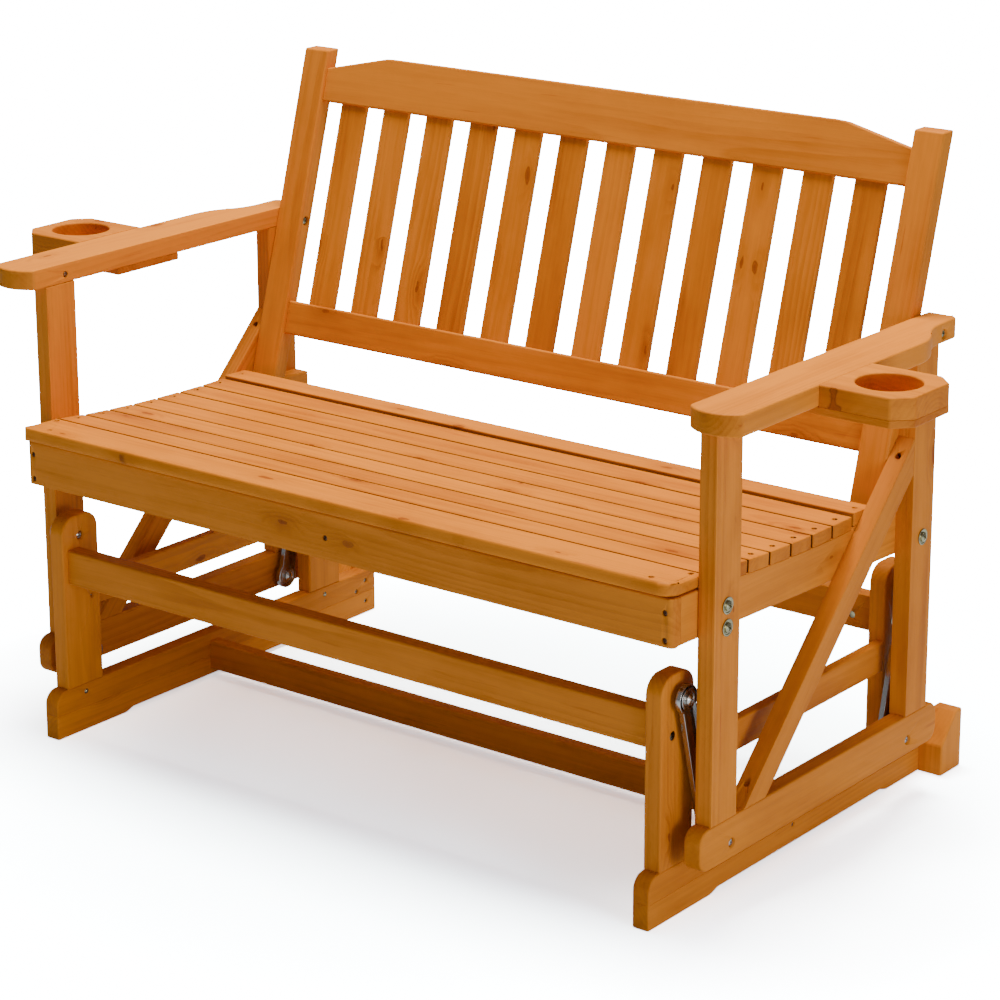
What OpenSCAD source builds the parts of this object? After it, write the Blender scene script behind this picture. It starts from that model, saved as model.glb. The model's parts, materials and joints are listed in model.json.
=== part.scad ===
// Two-seat garden glider bench: a slatted seat with arms and cup holders that hangs
// on four steel links from a low stationary base.
// Millimetres. X is across the bench, Y runs from the front to the back, Z is up.
// The origin is under the middle of the base, on the ground.
// Lengths along Y are counted from the front face of the front legs (leg_plane).

/* [Overall] */
// Clear width between the two arm frames
seat_width = 1090; // [900:1:1300]
// Height of the back above the ground
back_height = 900; // [820:1:980]
// Length of the two base rails, front to back
base_length = 696; // [640:1:800]
// Distance from the front end of the base rail to the front leg
leg_setback = 60; // [30:1:90]

/* [Timber] */
// Thickness of the frame boards
board = 25; // [20:0.5:32]
// Depth of the legs and rear posts, front to back
leg_depth = 55; // [45:0.5:70]
// Thickness of the arm boards and cup holder blocks
arm_thick = 28; // [20:0.5:35]
// Thickness of the seat slats
slat_thick = 18; // [12:0.5:22]
// Thickness of the back slats
back_slat_thick = 8; // [6:0.5:12]

/* [Base] */
// Height of a base rail, made of two boards glued edge to edge
base_height = 70; // [60:0.5:90]
// Height of the stub posts above the ground
stub_top = 322; // [300:1:360]
// Depth of a stub post, front to back
stub_depth = 70; // [60:1:80]
// Radius on the top corners of a stub post
stub_round = 25; // [5:1:32]
// Gap between the base and the arm frame, where the links swing
link_gap = 24; // [20:0.5:30]
// Height of the cross rails between the stub posts
cross_height = 50; // [40:1:60]
// Underside of the cross rails above the ground
cross_low = 225; // [180:1:240]
// Depth of a stop block, front to back
block_depth = 53; // [40:1:60]
// Height of a stop block
block_height = 86; // [70:1:100]

/* [Links] */
// Height of the upper pivots
pivot_high = 291; // [270:1:300]
// Height of the lower pivots
pivot_low = 95; // [92:1:102]
// Lower front pivot, behind the front face of the front leg
pivot_front = 47; // [40:0.5:60]
// Lower rear pivot, behind the front face of the front leg
pivot_rear = 467; // [440:0.5:500]
// Lean of the front links from upright, lower end to the rear
lean_front = 14.1; // [8:0.1:18]
// Lean of the rear links from upright, lower end to the front
lean_rear = 13.7; // [8:0.1:18]
// Diameter of the eye at each end of a link
eye_size = 38; // [32:0.5:40]
// Diameter of a pivot bolt
pivot_bolt = 10; // [8:0.1:12]

/* [Arm frames] */
// Distance between the front faces of the front leg and the rear post
leg_spacing = 459; // [420:1:500]
// Height of the swing rail
swing_rail_height = 55; // [50:1:65]
// Underside of the swing rail above the ground
swing_rail_low = 75; // [73:0.5:90]
// Top of the arms above the ground
arm_top = 668; // [620:1:700]
// Width of an arm at the front
arm_width = 75; // [60:1:90]
// Width of the tail of an arm beside the back
arm_tail = 44; // [26:1:50]
// Width of a brace
brace_width = 36; // [30:1:45]

/* [Cup holders] */
// How far a cup holder stands out from the arm
cup_reach = 120; // [100:1:140]
// Length of a cup holder along the arm
cup_length = 124; // [100:1:140]
// Diameter of the cup hole
cup_hole = 82; // [70:0.5:90]
// Thickness of the board under a cup holder
cup_floor = 10; // [6:0.5:14]

/* [Seat] */
// Height of the seat rails and the apron
seat_rail_height = 62; // [50:1:75]
// Underside of the seat rail at its front end
seat_rail_low = 370.6; // [350:0.1:400]
// Fall of the seat rail over its length
seat_rail_fall = 20; // [10:0.5:30]
// Depth of the front slat
front_slat = 67.4; // [50:0.1:80]
// Width of a narrow slat
seat_slat = 45; // [40:0.1:47]
// Spacing of the narrow slats
seat_pitch = 48.6; // [48:0.1:52]

/* [Back] */
// Recline of the back
recline = 16; // [10:0.5:20]
// Width of a stile
stile_width = 45; // [35:1:55]
// Height of the top rail at its middle
top_rail = 75; // [60:1:85]
// Height of the lower back rail
low_rail = 50; // [40:1:60]
// Width of a back slat
back_slat = 47; // [35:0.5:55]

/* [Hidden] */
$fn = 64;
eps = 0.01;
n_back = 12;
n_seat = 8;
leg_plane = -base_length / 2 + leg_setback;
x_in = seat_width / 2;                 // inner face of the arm frames
x_out = x_in + board;                  // outer face of the arm frames
x_base = x_in - link_gap;              // outer face of the base
x_mid = x_base + link_gap / 2;         // middle plane of the links
stub_x = x_base - board;               // inner face of the base
run = pivot_high - pivot_low;
up_front = pivot_front - run * tan(lean_front);
up_rear = pivot_rear + run * tan(lean_rear);
leg_low = swing_rail_low + swing_rail_height;
leg_top = arm_top - arm_thick;
sr_front = -22;                        // front end of a swing rail
sr_rear = leg_spacing + leg_depth + 26;
eye_bore = 26;
eye_wide = 7.6;                        // width of a bearing
nut_gap = 3.2;                         // clearance between a pivot's inner nut and the board it passes
low_recess = 5;                        // depth of the recess for the head of a lower pivot
loose_bolt = 8;                        // shank of the lower rear pivots
loose_bore = 13.2;                     // and the bore it has play in
block_screws = [[46, 41], [24, 54], [24, 20]]; // distance from the back of the base, height
floor_screw = [265, 30.5];             // Y and height of the screws into the floor stretcher
foot_plug_z = 58;                      // plugs over the feet of the stub posts
stretcher_plug_z = 197;                // and at the ends of the side stretchers
leg_bolts = [410, 382];                // heights of the bolts through the front legs
post_bolt = 375;                       // and through the rear posts
stile_bolts = [400, 372];              // heights of the bolts through the feet of the stiles
arm_bolt = [492, 652];                 // Y and height of the bolt from arm to stile
arm_plug_y = 38;                       // plug on the inner edge of an arm
apron_screws = [414, 379];             // heights of the screws at the ends of the apron
middle_screw = 400;                    // and at its middle
brace_low_y = 98;                      // screw at the foot of a brace
brace_high_z = 494;                    // and at its head
back_y = 415;                          // the back's front face passes through this point
back_z = 431;
back_o = back_y - back_z * tan(recline);
rail_end = leg_spacing + leg_depth;
sr_front_y = -34;
sr_len = rail_end - sr_front_y;
slope = seat_rail_fall / sr_len;
scoop_a = 14;
scoop_b = 353;
arc_low = 320;
arc_r = 2910;
arc_z = seat_rail_low + 44.2;

function rail_bottom(y) = seat_rail_low - slope * (y - sr_front_y);
function rail_top(y) = rail_bottom(y) + seat_rail_height;
function scoop(y) = arc_z + arc_r - sqrt(arc_r * arc_r - (y - arc_low) * (y - arc_low));
function slat_y(i) = scoop_a + seat_pitch * i + seat_slat / 2;
function slat_z(i) = i < n_seat - 1 ? scoop(slat_y(i)) : rail_top(slat_y(i));
function slat_tilt(i) = i < n_seat - 1 ? asin((slat_y(i) - arc_low) / arc_r) : -atan(slope);
function back_slat_x(i) = let(w = seat_width - 2 * stile_width, g = (w - n_back * back_slat) / (n_back + 1))
  -w / 2 + g + i * (back_slat + g);

wood = [0.80, 0.52, 0.25];
wood_dark = [0.70, 0.42, 0.18];
steel = [0.62, 0.63, 0.65];
dark_steel = [0.35, 0.34, 0.34];

// ---------- helpers ----------
module at_legs() { translate([0, leg_plane, 0]) children(); }
module side(s) { if (s < 0) mirror([1, 0, 0]) children(); else children(); }
// a profile drawn in Y and Z, made w wide from x0 towards +X
module yz(x0, w) { translate([x0, 0, 0]) rotate([90, 0, 90]) linear_extrude(height = w) children(); }
// a profile drawn in X and Y, made h high from z0
module xy(z0, h) { translate([0, 0, z0]) linear_extrude(height = h) children(); }
module rod_x(x0, x1, y, z, d) { translate([x0, y, z]) rotate([0, 90, 0]) cylinder(h = x1 - x0, d = d); }
module rod_y(x, y0, y1, z, d) { translate([x, y0, z]) rotate([-90, 0, 0]) cylinder(h = y1 - y0, d = d); }
module rod_z(x, y, z0, z1, d) { translate([x, y, z0]) cylinder(h = z1 - z0, d = d); }
// the leaning frame of the back: X across, Y through its thickness, Z up its face
module lean() { at_legs() translate([0, back_o, 0]) rotate([-recline, 0, 0]) children(); }

// ---------- base ----------
function rail_front() = -leg_setback;
function rail_back() = base_length - leg_setback;

module base_rail_solid() {
  at_legs() difference() {
    yz(stub_x, board) difference() {
      translate([rail_front(), base_height / 2]) square([base_length, base_height / 2]);
      difference() {
        translate([rail_front() - 1, base_height - 20]) square([21, 21]);
        translate([rail_front() + 20, base_height - 20]) circle(r = 20);
      }
    }
    for (s = block_screws) if (s[1] > base_height / 2) {
      rod_x(stub_x - 1, stub_x + 4, rail_back() - s[0], s[1], 8);
      rod_x(stub_x - 1, x_base + 1, rail_back() - s[0], s[1], 4.4);
    }
    for (y = [up_rear, up_front]) rod_x(stub_x - 1, stub_x + 4, y, foot_plug_z, 8);
  }
}
module base_runner_solid() {
  at_legs() difference() {
    yz(stub_x, board) polygon([[rail_front(), 0], [77, 0], [92, 5], [485, 5], [500, 0], [rail_back(), 0],
      [rail_back(), base_height / 2], [rail_front(), base_height / 2]]);
    for (s = block_screws) if (s[1] < base_height / 2) {
      rod_x(stub_x - 1, stub_x + 4, rail_back() - s[0], s[1], 8);
      rod_x(stub_x - 1, x_base + 1, rail_back() - s[0], s[1], 4.4);
    }
    rod_x(x_base - 4, x_base + 1, floor_screw[0], floor_screw[1], 8);
    rod_x(stub_x - 1, x_base + 1, floor_screw[0], floor_screw[1], 4.4);
  }
}
module stub_solid(y) {
  at_legs() difference() {
    yz(stub_x, board) union() {
      translate([y - stub_depth / 2, base_height]) square([stub_depth, stub_top - base_height - stub_round]);
      translate([y - stub_depth / 2 + stub_round, stub_top - stub_round - 1]) square([stub_depth - 2 * stub_round, stub_round + 1]);
      for (e = [-1, 1]) translate([y + e * (stub_depth / 2 - stub_round), stub_top - stub_round]) circle(r = stub_round);
    }
    rod_x(stub_x - 1, x_base + 1, y, pivot_high, pivot_bolt + 0.6);
    rod_x(stub_x - 1, stub_x + 6, y, pivot_high, 14);
    rod_x(stub_x - 1, stub_x + 14, y + nut_side(y) * (stub_depth / 2 - 16), stretcher_plug_z, 8);
    rod_x(x_base - 5, x_base + 1, bolt_y(y), bolt_z, 13);
    rod_x(stub_x - 1, x_base + 1, bolt_y(y), bolt_z, 6.6);
  }
}
function cross_y(y) = y - stub_depth / 2 + 9;
function bolt_y(y) = cross_y(y) + board / 2 + 3;
bolt_z = cross_low + 18;
// the side stretcher is behind a front stub and in front of a rear one
function nut_side(y) = y < leg_spacing / 2 ? 1 : -1;
module cross_rail_solid(y, face) {
  at_legs() difference() {
    translate([-stub_x, cross_y(y), cross_low]) cube([2 * stub_x, board, cross_height]);
    for (s = [-1, 1]) side(s) {
      rod_x(stub_x - 42, stub_x + 1, bolt_y(y), bolt_z, 6.6);
      rod_y(stub_x - 31, cross_y(y) + (face < 0 ? -1 : 5), cross_y(y) + (face < 0 ? board - 4 : board + 1), bolt_z, 10);
    }
  }
}
module cross_bolt_solid(y, face) {
  at_legs() for (s = [-1, 1]) side(s) {
    rod_x(x_base - 5, x_base - 1, bolt_y(y), bolt_z, 12);
    rod_x(stub_x - 40, x_base - 4, bolt_y(y), bolt_z, 6);
    rod_y(stub_x - 31, cross_y(y) + (face < 0 ? 1 : 5), cross_y(y) + (face < 0 ? board - 4 : board - 1), bolt_z, 10);
  }
}
module stretcher_solid() {
  at_legs() translate([x_base - 16, up_front + stub_depth / 2, 177])
    cube([16, up_rear - up_front - stub_depth, 42]);
}
module block_solid() {
  at_legs() difference() {
    yz(x_base, 36) polygon([[rail_back() - block_depth, 0], [rail_back(), 0], [rail_back(), block_height],
      [rail_back() - 17, block_height], [rail_back() - block_depth, block_height / 2 + 1]]);
    for (s = block_screws) rod_x(x_base - 1, x_base + 22, rail_back() - s[0], s[1], 4.4);
  }
}
module screw_x(x0, x1, y, z) { // head at x0, point at x1
  d = x1 > x0 ? 1 : -1;
  rod_x(min(x0, x0 + 3 * d), max(x0, x0 + 3 * d), y, z, 7);
  rod_x(min(x0 + 2 * d, x1), max(x0 + 2 * d, x1), y, z, 3.6);
}
module base_screw_set() {
  at_legs() for (s = [-1, 1]) side(s) {
    for (s = block_screws) screw_x(stub_x + 1, x_base + 20, rail_back() - s[0], s[1]);
    screw_x(x_base - 1, stub_x - 25, floor_screw[0], floor_screw[1]);
    for (y = [up_front, up_rear]) {
      rod_x(stub_x + 1, stub_x + 4, y, foot_plug_z, 8);
      rod_x(stub_x + 1, stub_x + 14, y + nut_side(y) * (stub_depth / 2 - 16), stretcher_plug_z, 8);
    }
  }
}
module upper_bolt(y) {
  at_legs() for (s = [-1, 1]) side(s) {
    rod_x(stub_x + 1, stub_x + 6, y, pivot_high, 13);
    rod_x(stub_x + 5, x_in - 4, y, pivot_high, pivot_bolt);
    rod_x(x_base, x_mid - eye_wide / 2 - 0.1, y, pivot_high, 15);
    rod_x(x_mid + eye_wide / 2 + 0.1, x_in - nut_gap, y, pivot_high, 15);
  }
}

// ---------- links ----------
// a pressed link: a web with a rim turned out all round it, and a raised seat for a bearing at each end
rim = 1.8;
rim_high = eye_wide - 0.2;
waist = 28;
module link_outline(g, len) {
  for (z = [0, -len]) translate([0, z]) circle(r = eye_size / 2 - g);
  translate([-waist / 2 + g, -len]) square([waist - 2 * g, len]);
}
module link_solid(yt, yb) {
  len = sqrt((yb - yt) * (yb - yt) + run * run);
  a = atan((yb - yt) / run);
  at_legs() translate([x_mid, yt, pivot_high]) rotate([a, 0, 0]) difference() {
    union() {
      difference() {
        yz(-eye_wide / 2, rim_high) link_outline(0, len);
        yz(-eye_wide / 2 + rim, rim_high) link_outline(rim, len);
      }
      for (z = [0, -len]) rod_x(-eye_wide / 2, eye_wide / 2, 0, z, eye_bore + 3);
    }
    for (z = [0, -len]) rod_x(-20, 20, 0, z, eye_bore);
  }
}
module bearing_solid(bore) {
  difference() {
    rod_x(-eye_wide / 2, eye_wide / 2, 0, 0, eye_bore - 0.04);
    rod_x(-20, 20, 0, 0, bore);
    for (s = [-1, 1]) side(s) difference() {
      rod_x(eye_wide / 2 - 1.2, eye_wide / 2 + 1, 0, 0, 23);
      rod_x(eye_wide / 2 - 2, eye_wide / 2 + 2, 0, 0, 17);
    }
  }
}
module bearing_pair(yt, yb, low_bore) {
  at_legs() {
    translate([x_mid, yt, pivot_high]) bearing_solid(pivot_bolt + 0.06);
    translate([x_mid, yb, pivot_low]) bearing_solid(low_bore);
  }
}

// ---------- arm frames ----------
module leg_solid(y) {
  at_legs() difference() {
    translate([x_in, y, leg_low]) cube([board, leg_depth, leg_top - leg_low]);
    if (y < 10) for (z = leg_bolts) rod_x(x_in - 1, x_out + 1, y + leg_depth / 2, z, 6.6);
    else {
      rod_x(x_in - 1, x_out + 1, y + leg_depth / 2, post_bolt, 6.6);
      rod_y(x_in + board / 2, y - 1, y + 20, brace_high_z, 4.4);
    }
  }
}
module swing_rail_solid() {
  r = 18;
  at_legs() difference() {
    yz(x_in, board) union() {
      translate([sr_front + r, swing_rail_low]) square([sr_rear - sr_front - 2 * r, swing_rail_height]);
      translate([sr_front, swing_rail_low + r]) square([sr_rear - sr_front, swing_rail_height - 2 * r]);
      for (y = [sr_front + r, sr_rear - r], z = [swing_rail_low + r, leg_low - r]) translate([y, z]) circle(r = r);
    }
    for (y = [pivot_front, pivot_rear]) {
      rod_x(x_in - 1, x_out + 1, y, pivot_low, pivot_bolt + 0.6);
      rod_x(x_out - low_recess, x_out + 1, y, pivot_low, 14);
    }
    rod_z(x_in + board / 2, brace_low_y, leg_low - 20, leg_low + 1, 4.4);
  }
}
brace_y0 = 73;
brace_run = brace_width * sqrt(2);
module brace_solid() {
  at_legs() difference() {
    yz(x_in, board) polygon([[brace_y0, leg_low], [brace_y0 + brace_run, leg_low],
      [leg_spacing, leg_low + leg_spacing - brace_y0 - brace_run], [leg_spacing, leg_low + leg_spacing - brace_y0]]);
    rod_z(x_in + board / 2, brace_low_y, leg_low - 1, leg_low + 60, 4.4);
    rod_z(x_in + board / 2, brace_low_y, leg_low + 12, leg_low + 60, 9);
    rod_y(x_in + board / 2, leg_spacing - 60, leg_spacing + 1, brace_high_z, 4.4);
    rod_y(x_in + board / 2, leg_spacing - 60, leg_spacing - 12, brace_high_z, 9);
  }
}
// outline of an arm: rounded nose, straight inner edge, outer edge that curves in to a slim tail
arm_nose = 51;
tail_y = rail_end + 13;
module arm_outline() {
  s0 = 380;
  s1 = 484;
  h = (arm_width - arm_tail) / 2;
  q = (s1 - s0) / 2;
  r = (q * q + h * h) / (2 * h);
  nose_y = sqrt(arm_nose * arm_nose - arm_width * arm_width / 4);
  difference() {
    union() {
      intersection() {
        translate([x_in, -60]) square([arm_width, 80]);
        translate([x_in + arm_width / 2, -38 + arm_nose]) circle(r = arm_nose);
      }
      translate([x_in, -38 + arm_nose - nose_y]) square([arm_width, s0 + 38 - arm_nose + nose_y]);
      intersection() {
        translate([x_in, s0 - 1]) square([arm_width, q + 1]);
        translate([x_in + arm_width - r, s0]) circle(r = r);
      }
      translate([x_in, s0 + q - eps]) square([arm_width / 2 + arm_tail / 2 - eps, s1 - s0 - q]);
      translate([x_in, s1 - eps]) square([arm_tail, tail_y - s1 - 10]);
      translate([x_in, s1]) square([arm_tail - 10, tail_y - s1]);
      translate([x_in + arm_tail - 10, tail_y - 10 - eps]) circle(r = 10);
    }
    translate([x_in + arm_tail + r, s1]) circle(r = r);
  }
}
module arm_solid() {
  at_legs() difference() {
    xy(leg_top, arm_thick) arm_outline();
    rod_x(x_in - 1, x_in + 60, arm_bolt[0], arm_bolt[1], 6.6);
    rod_x(x_in + arm_tail - 5, x_in + 60, arm_bolt[0], arm_bolt[1], 14);
    rod_x(x_in - 1, x_in + 5, arm_plug_y, arm_bolt[1], 9);
  }
}
cup_y = 141;
cup_cut = 22;
module cup_outline(g) {
  polygon([[x_in + arm_width, cup_y], [x_in + arm_width + cup_reach - cup_cut, cup_y],
    [x_in + arm_width + cup_reach, cup_y + cup_cut], [x_in + arm_width + cup_reach, cup_y + cup_length - cup_cut],
    [x_in + arm_width + cup_reach - cup_cut, cup_y + cup_length], [x_in + arm_width, cup_y + cup_length]]);
}
module cup_block_solid() {
  at_legs() difference() {
    xy(leg_top, arm_thick) cup_outline(0);
    rod_z(x_in + arm_width + cup_reach / 2, cup_y + cup_length / 2, leg_top - 1, arm_top + 1, cup_hole);
  }
}
module cup_board_solid() {
  at_legs() xy(leg_top - cup_floor, cup_floor) union() {
    cup_outline(0);
    translate([x_in, cup_y]) square([arm_width + 1, cup_length]);
  }
}

// ---------- seat ----------
module seat_rail_profile(y0, y1) {
  difference() {
    polygon([[y0, rail_bottom(y0)], [y1, rail_bottom(y1)], [y1, rail_top(y1)], [y0, rail_top(y0)]]);
    intersection() {
      translate([scoop_a, rail_top(scoop_b) - 30]) square([scoop_b - scoop_a, 80]);
      translate([arc_low, arc_z + arc_r]) circle(r = arc_r, $fn = 720);
    }
  }
}
module slat_pilots(x, d, dd) {
  for (i = [0 : n_seat - 1]) rod_z(x, slat_y(i), slat_z(i) - dd, slat_z(i) + slat_thick + 5, d);
}
front_rows = [[-30, 38], [0, 10]];
module seat_rail_solid() {
  at_legs() difference() {
    yz(x_in - board, board) seat_rail_profile(sr_front_y, rail_end);
    slat_pilots(x_in - board / 2, 4.4, 20);
    rod_z(x_in - 10, 0, rail_top(0) - 20, rail_top(0) + 1, 4.4);
    for (z = apron_screws) rod_y(x_in - board / 2, sr_front_y - 1, sr_front_y + 26, z, 4.4);
    for (z = leg_bolts) rod_x(x_in - board - 1, x_in + 1, leg_depth / 2, z, 6.6);
    rod_x(x_in - board - 1, x_in + 1, leg_spacing + leg_depth / 2, post_bolt, 6.6);
    for (z = stile_bolts) rod_x(x_in - board - 1, x_in + 1, back_y + (z - back_z) * tan(recline) + 13, z, 6.6);
  }
}
module seat_rail_middle_solid() {
  at_legs() difference() {
    yz(-board / 2, board) seat_rail_profile(sr_front_y, 366);
    rod_y(0, sr_front_y - 1, sr_front_y + 26, middle_screw, 4.4);
  }
}
module front_apron_solid() {
  r = 8;
  at_legs() difference() {
    xy(seat_rail_low, seat_rail_height) difference() {
      translate([-x_in, sr_front_y - 16]) square([2 * x_in, 16]);
      for (s = [-1, 1]) scale([s, 1]) difference() {
        translate([x_in - r, sr_front_y - 17]) square([r + 1, r + 1]);
        translate([x_in - r, sr_front_y - 16 + r]) circle(r = r);
      }
    }
    for (s = [-1, 1], z = apron_screws) side(s) {
      rod_y(x_in - board / 2, sr_front_y - 17, sr_front_y + 1, z, 4.4);
      rod_y(x_in - board / 2, sr_front_y - 17, sr_front_y - 12, z, 8);
    }
    rod_y(0, sr_front_y - 17, sr_front_y + 1, middle_screw, 4.4);
    rod_y(0, sr_front_y - 17, sr_front_y - 12, middle_screw, 8);
    for (s = [-1, 1]) side(s) rod_z(x_in - 38, sr_front_y - 8, rail_top(sr_front_y) - 20, rail_top(sr_front_y) + 1, 4.4);
  }
}
module rear_apron_solid() {
  at_legs() yz(-(x_in - board), 2 * (x_in - board))
    polygon([[366, rail_bottom(366)], [384, rail_bottom(384)], [384, rail_top(384)], [366, rail_top(366)]]);
}
module front_slat_solid() {
  r = 22;
  r_left = 6;
  y0 = scoop_a - 2.6 - front_slat;
  at_legs() difference() {
    translate([0, 0, rail_top(sr_front_y)]) rotate([-atan(slope), 0, 0]) xy(0, slat_thick) union() {
      translate([-x_in, y0 + r]) square([2 * x_in, front_slat - r]);
      translate([-x_in + r_left, y0]) square([2 * x_in - r - r_left, r + 1]);
      translate([-x_in, y0 + r_left]) square([r_left + 1, r]);
      translate([-x_in + r_left, y0 + r_left]) circle(r = r_left);
      translate([x_in - r, y0 + r]) circle(r = r);
    }
    for (s = [-1, 1]) side(s) {
      rod_z(x_in - 10, 0, 400, 480, 4.4);
      rod_z(x_in - 10, 0, rail_top(0) + slat_thick - 5, 480, 8);
      rod_z(x_in - 38, sr_front_y - 8, 400, 480, 4.4);
      rod_z(x_in - 38, sr_front_y - 8, rail_top(sr_front_y) + slat_thick - 5, 480, 8);
    }
  }
}
module seat_slat_set() {
  at_legs() for (i = [0 : n_seat - 1]) difference() {
    translate([-x_in, slat_y(i), slat_z(i)]) rotate([slat_tilt(i), 0, 0])
      translate([0, -seat_slat / 2, seat_slat * seat_slat / (8 * arc_r) + eps]) cube([2 * x_in, seat_slat, slat_thick]);
    for (s = [-1, 1]) side(s) {
      rod_z(x_in - board / 2, slat_y(i), slat_z(i) - 5, slat_z(i) + slat_thick + 5, 4.4);
      rod_z(x_in - board / 2, slat_y(i), slat_z(i) + slat_thick - 5, slat_z(i) + slat_thick + 5, 8);
    }
  }
}

// ---------- back ----------
module stile_solid() {
  t = board / cos(recline);
  yb = 352;
  at_legs() difference() {
    union() {
      yz(x_in - stile_width, stile_width) polygon([
        [back_o + 400 * tan(recline), 400], [back_o + back_height * tan(recline), back_height],
        [back_o + back_height * tan(recline) + t, back_height], [back_o + 400 * tan(recline) + t, 400]]);
      yz(x_in - stile_width, stile_width - board) polygon([
        [back_o + yb * tan(recline), yb], [back_o + 401 * tan(recline), 401],
        [back_o + 401 * tan(recline) + t, 401], [back_o + yb * tan(recline) + t, yb]]);
    }
    yz(x_in - board, board + 1) polygon([[300, 340], [rail_end + 20, 340],
      [rail_end + 20, rail_top(rail_end + 20) + eps], [300, rail_top(300) + eps]]);
    rod_x(x_in - stile_width - 1, x_in + 1, arm_bolt[0], arm_bolt[1], 6.6);
    rod_x(x_in - stile_width - 1, x_in - stile_width + 5, arm_bolt[0], arm_bolt[1], 14);
    for (z = stile_bolts) rod_x(x_in - stile_width - 1, x_in - board + 1, back_y + (z - back_z) * tan(recline) + 13, z, 6.6);
  }
}
xb = x_in - stile_width;
rail_v = 6;
rail_t = 18;
slat_v = rail_v + (rail_t - back_slat_thick) / 2;
peak = (back_height - 1.5 + rail_v * sin(recline)) / cos(recline);
low_top = 561.5;
tenon = 8;
mortise_gap = 0.2;                     // room at the end of a tenon
module top_rail_solid() {
  lean() difference() {
    translate([0, rail_v + rail_t, 0]) rotate([90, 0, 0]) linear_extrude(height = rail_t)
      polygon([[-xb, peak - top_rail], [xb, peak - top_rail], [xb, peak - 25], [xb - 96, peak - 3.2],
        [xb - 107, peak - 0.8], [xb - 120, peak], [-xb + 120, peak], [-xb + 107, peak - 0.8], [-xb + 96, peak - 3.2], [-xb, peak - 25]]);
    for (i = [0 : n_back - 1]) translate([back_slat_x(i), slat_v, peak - top_rail - 1])
      cube([back_slat, back_slat_thick, tenon + mortise_gap + 1]);
  }
}
module low_rail_solid() {
  lean() difference() {
    translate([-xb, rail_v, low_top - low_rail]) cube([2 * xb, rail_t, low_rail]);
    for (i = [0 : n_back - 1]) translate([back_slat_x(i), slat_v, low_top - tenon - mortise_gap])
      cube([back_slat, back_slat_thick, tenon + mortise_gap + 1]);
  }
}
module back_slat_set() {
  lean() for (i = [0 : n_back - 1])
    translate([back_slat_x(i), slat_v, low_top - tenon]) cube([back_slat, back_slat_thick, peak - top_rail - low_top + 2 * tenon]);
}

// ---------- fasteners of the swing ----------
module lower_bolt(y, d) {
  at_legs() for (s = [-1, 1]) side(s) {
    rod_x(x_mid + eye_wide / 2 + 0.1, x_out - 4, y, pivot_low, pivot_bolt);
    rod_x(x_out - low_recess, x_out - 1.2, y, pivot_low, 12.6);
    rod_x(x_base + nut_gap, x_mid + eye_wide / 2 + 1, y, pivot_low, d);
    rod_x(x_mid + eye_wide / 2 + 0.1, x_in, y, pivot_low, 15);
    rod_x(x_base + nut_gap, x_mid - eye_wide / 2 - 0.1, y, pivot_low, 15);
  }
}
module frame_bolt(y, z) { // through a leg and a seat rail
  rod_x(x_out, x_out + 1.5, y, z, 22);
  rod_x(x_out + 1.5, x_out + 5, y, z, 13);
  rod_x(x_in - board - 5, x_out + 2, y, z, 6);
  rod_x(x_in - board - 5, x_in - board, y, z, 12);
}
module frame_bolt_set() {
  at_legs() for (s = [-1, 1]) side(s) {
    for (z = leg_bolts) frame_bolt(leg_depth / 2, z);
    frame_bolt(leg_spacing + leg_depth / 2, post_bolt);
    rod_x(x_in - stile_width + 1, x_in + arm_tail - 1, arm_bolt[0], arm_bolt[1], 6);
    rod_x(x_in - stile_width + 1, x_in - stile_width + 5, arm_bolt[0], arm_bolt[1], 12);
    rod_x(x_in + arm_tail - 5, x_in + arm_tail - 1, arm_bolt[0], arm_bolt[1], 12);
    for (z = stile_bolts) {
      y = back_y + (z - back_z) * tan(recline) + 13;
      rod_x(x_in - stile_width - 4, x_in - 1, y, z, 6);
      rod_x(x_in - stile_width - 4, x_in - stile_width, y, z, 12);
    }
  }
}
module screw_down(x, y, z, l) { // head resting at z, screw going down
  rod_z(x, y, z, z + 3, 7);
  rod_z(x, y, z - l, z + 1, 3.6);
}
module screw_back(x, y, z, l) {
  rod_y(x, y - 3, y, z, 7);
  rod_y(x, y - 1, y + l, z, 3.6);
}
module frame_screw_set() {
  at_legs() for (s = [-1, 1]) side(s) {
    for (i = [0 : n_seat - 1]) screw_down(x_in - board / 2, slat_y(i), slat_z(i) + slat_thick - 5, 30);
    screw_down(x_in - 10, 0, rail_top(0) + slat_thick - 5, 30);
    screw_down(x_in - 38, sr_front_y - 8, rail_top(sr_front_y) + slat_thick - 5, 30);
    for (z = apron_screws) screw_back(x_in - board / 2, sr_front_y - 12, z, 34);
    screw_down(x_in + board / 2, brace_low_y, leg_low + 12, 30);
    screw_back(x_in + board / 2, leg_spacing - 12, brace_high_z, 30);
    rod_x(x_in + 2, x_in + 5, arm_plug_y, arm_bolt[1], 9);
  }
  at_legs() screw_back(0, sr_front_y - 12, middle_screw, 34);
}

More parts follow.
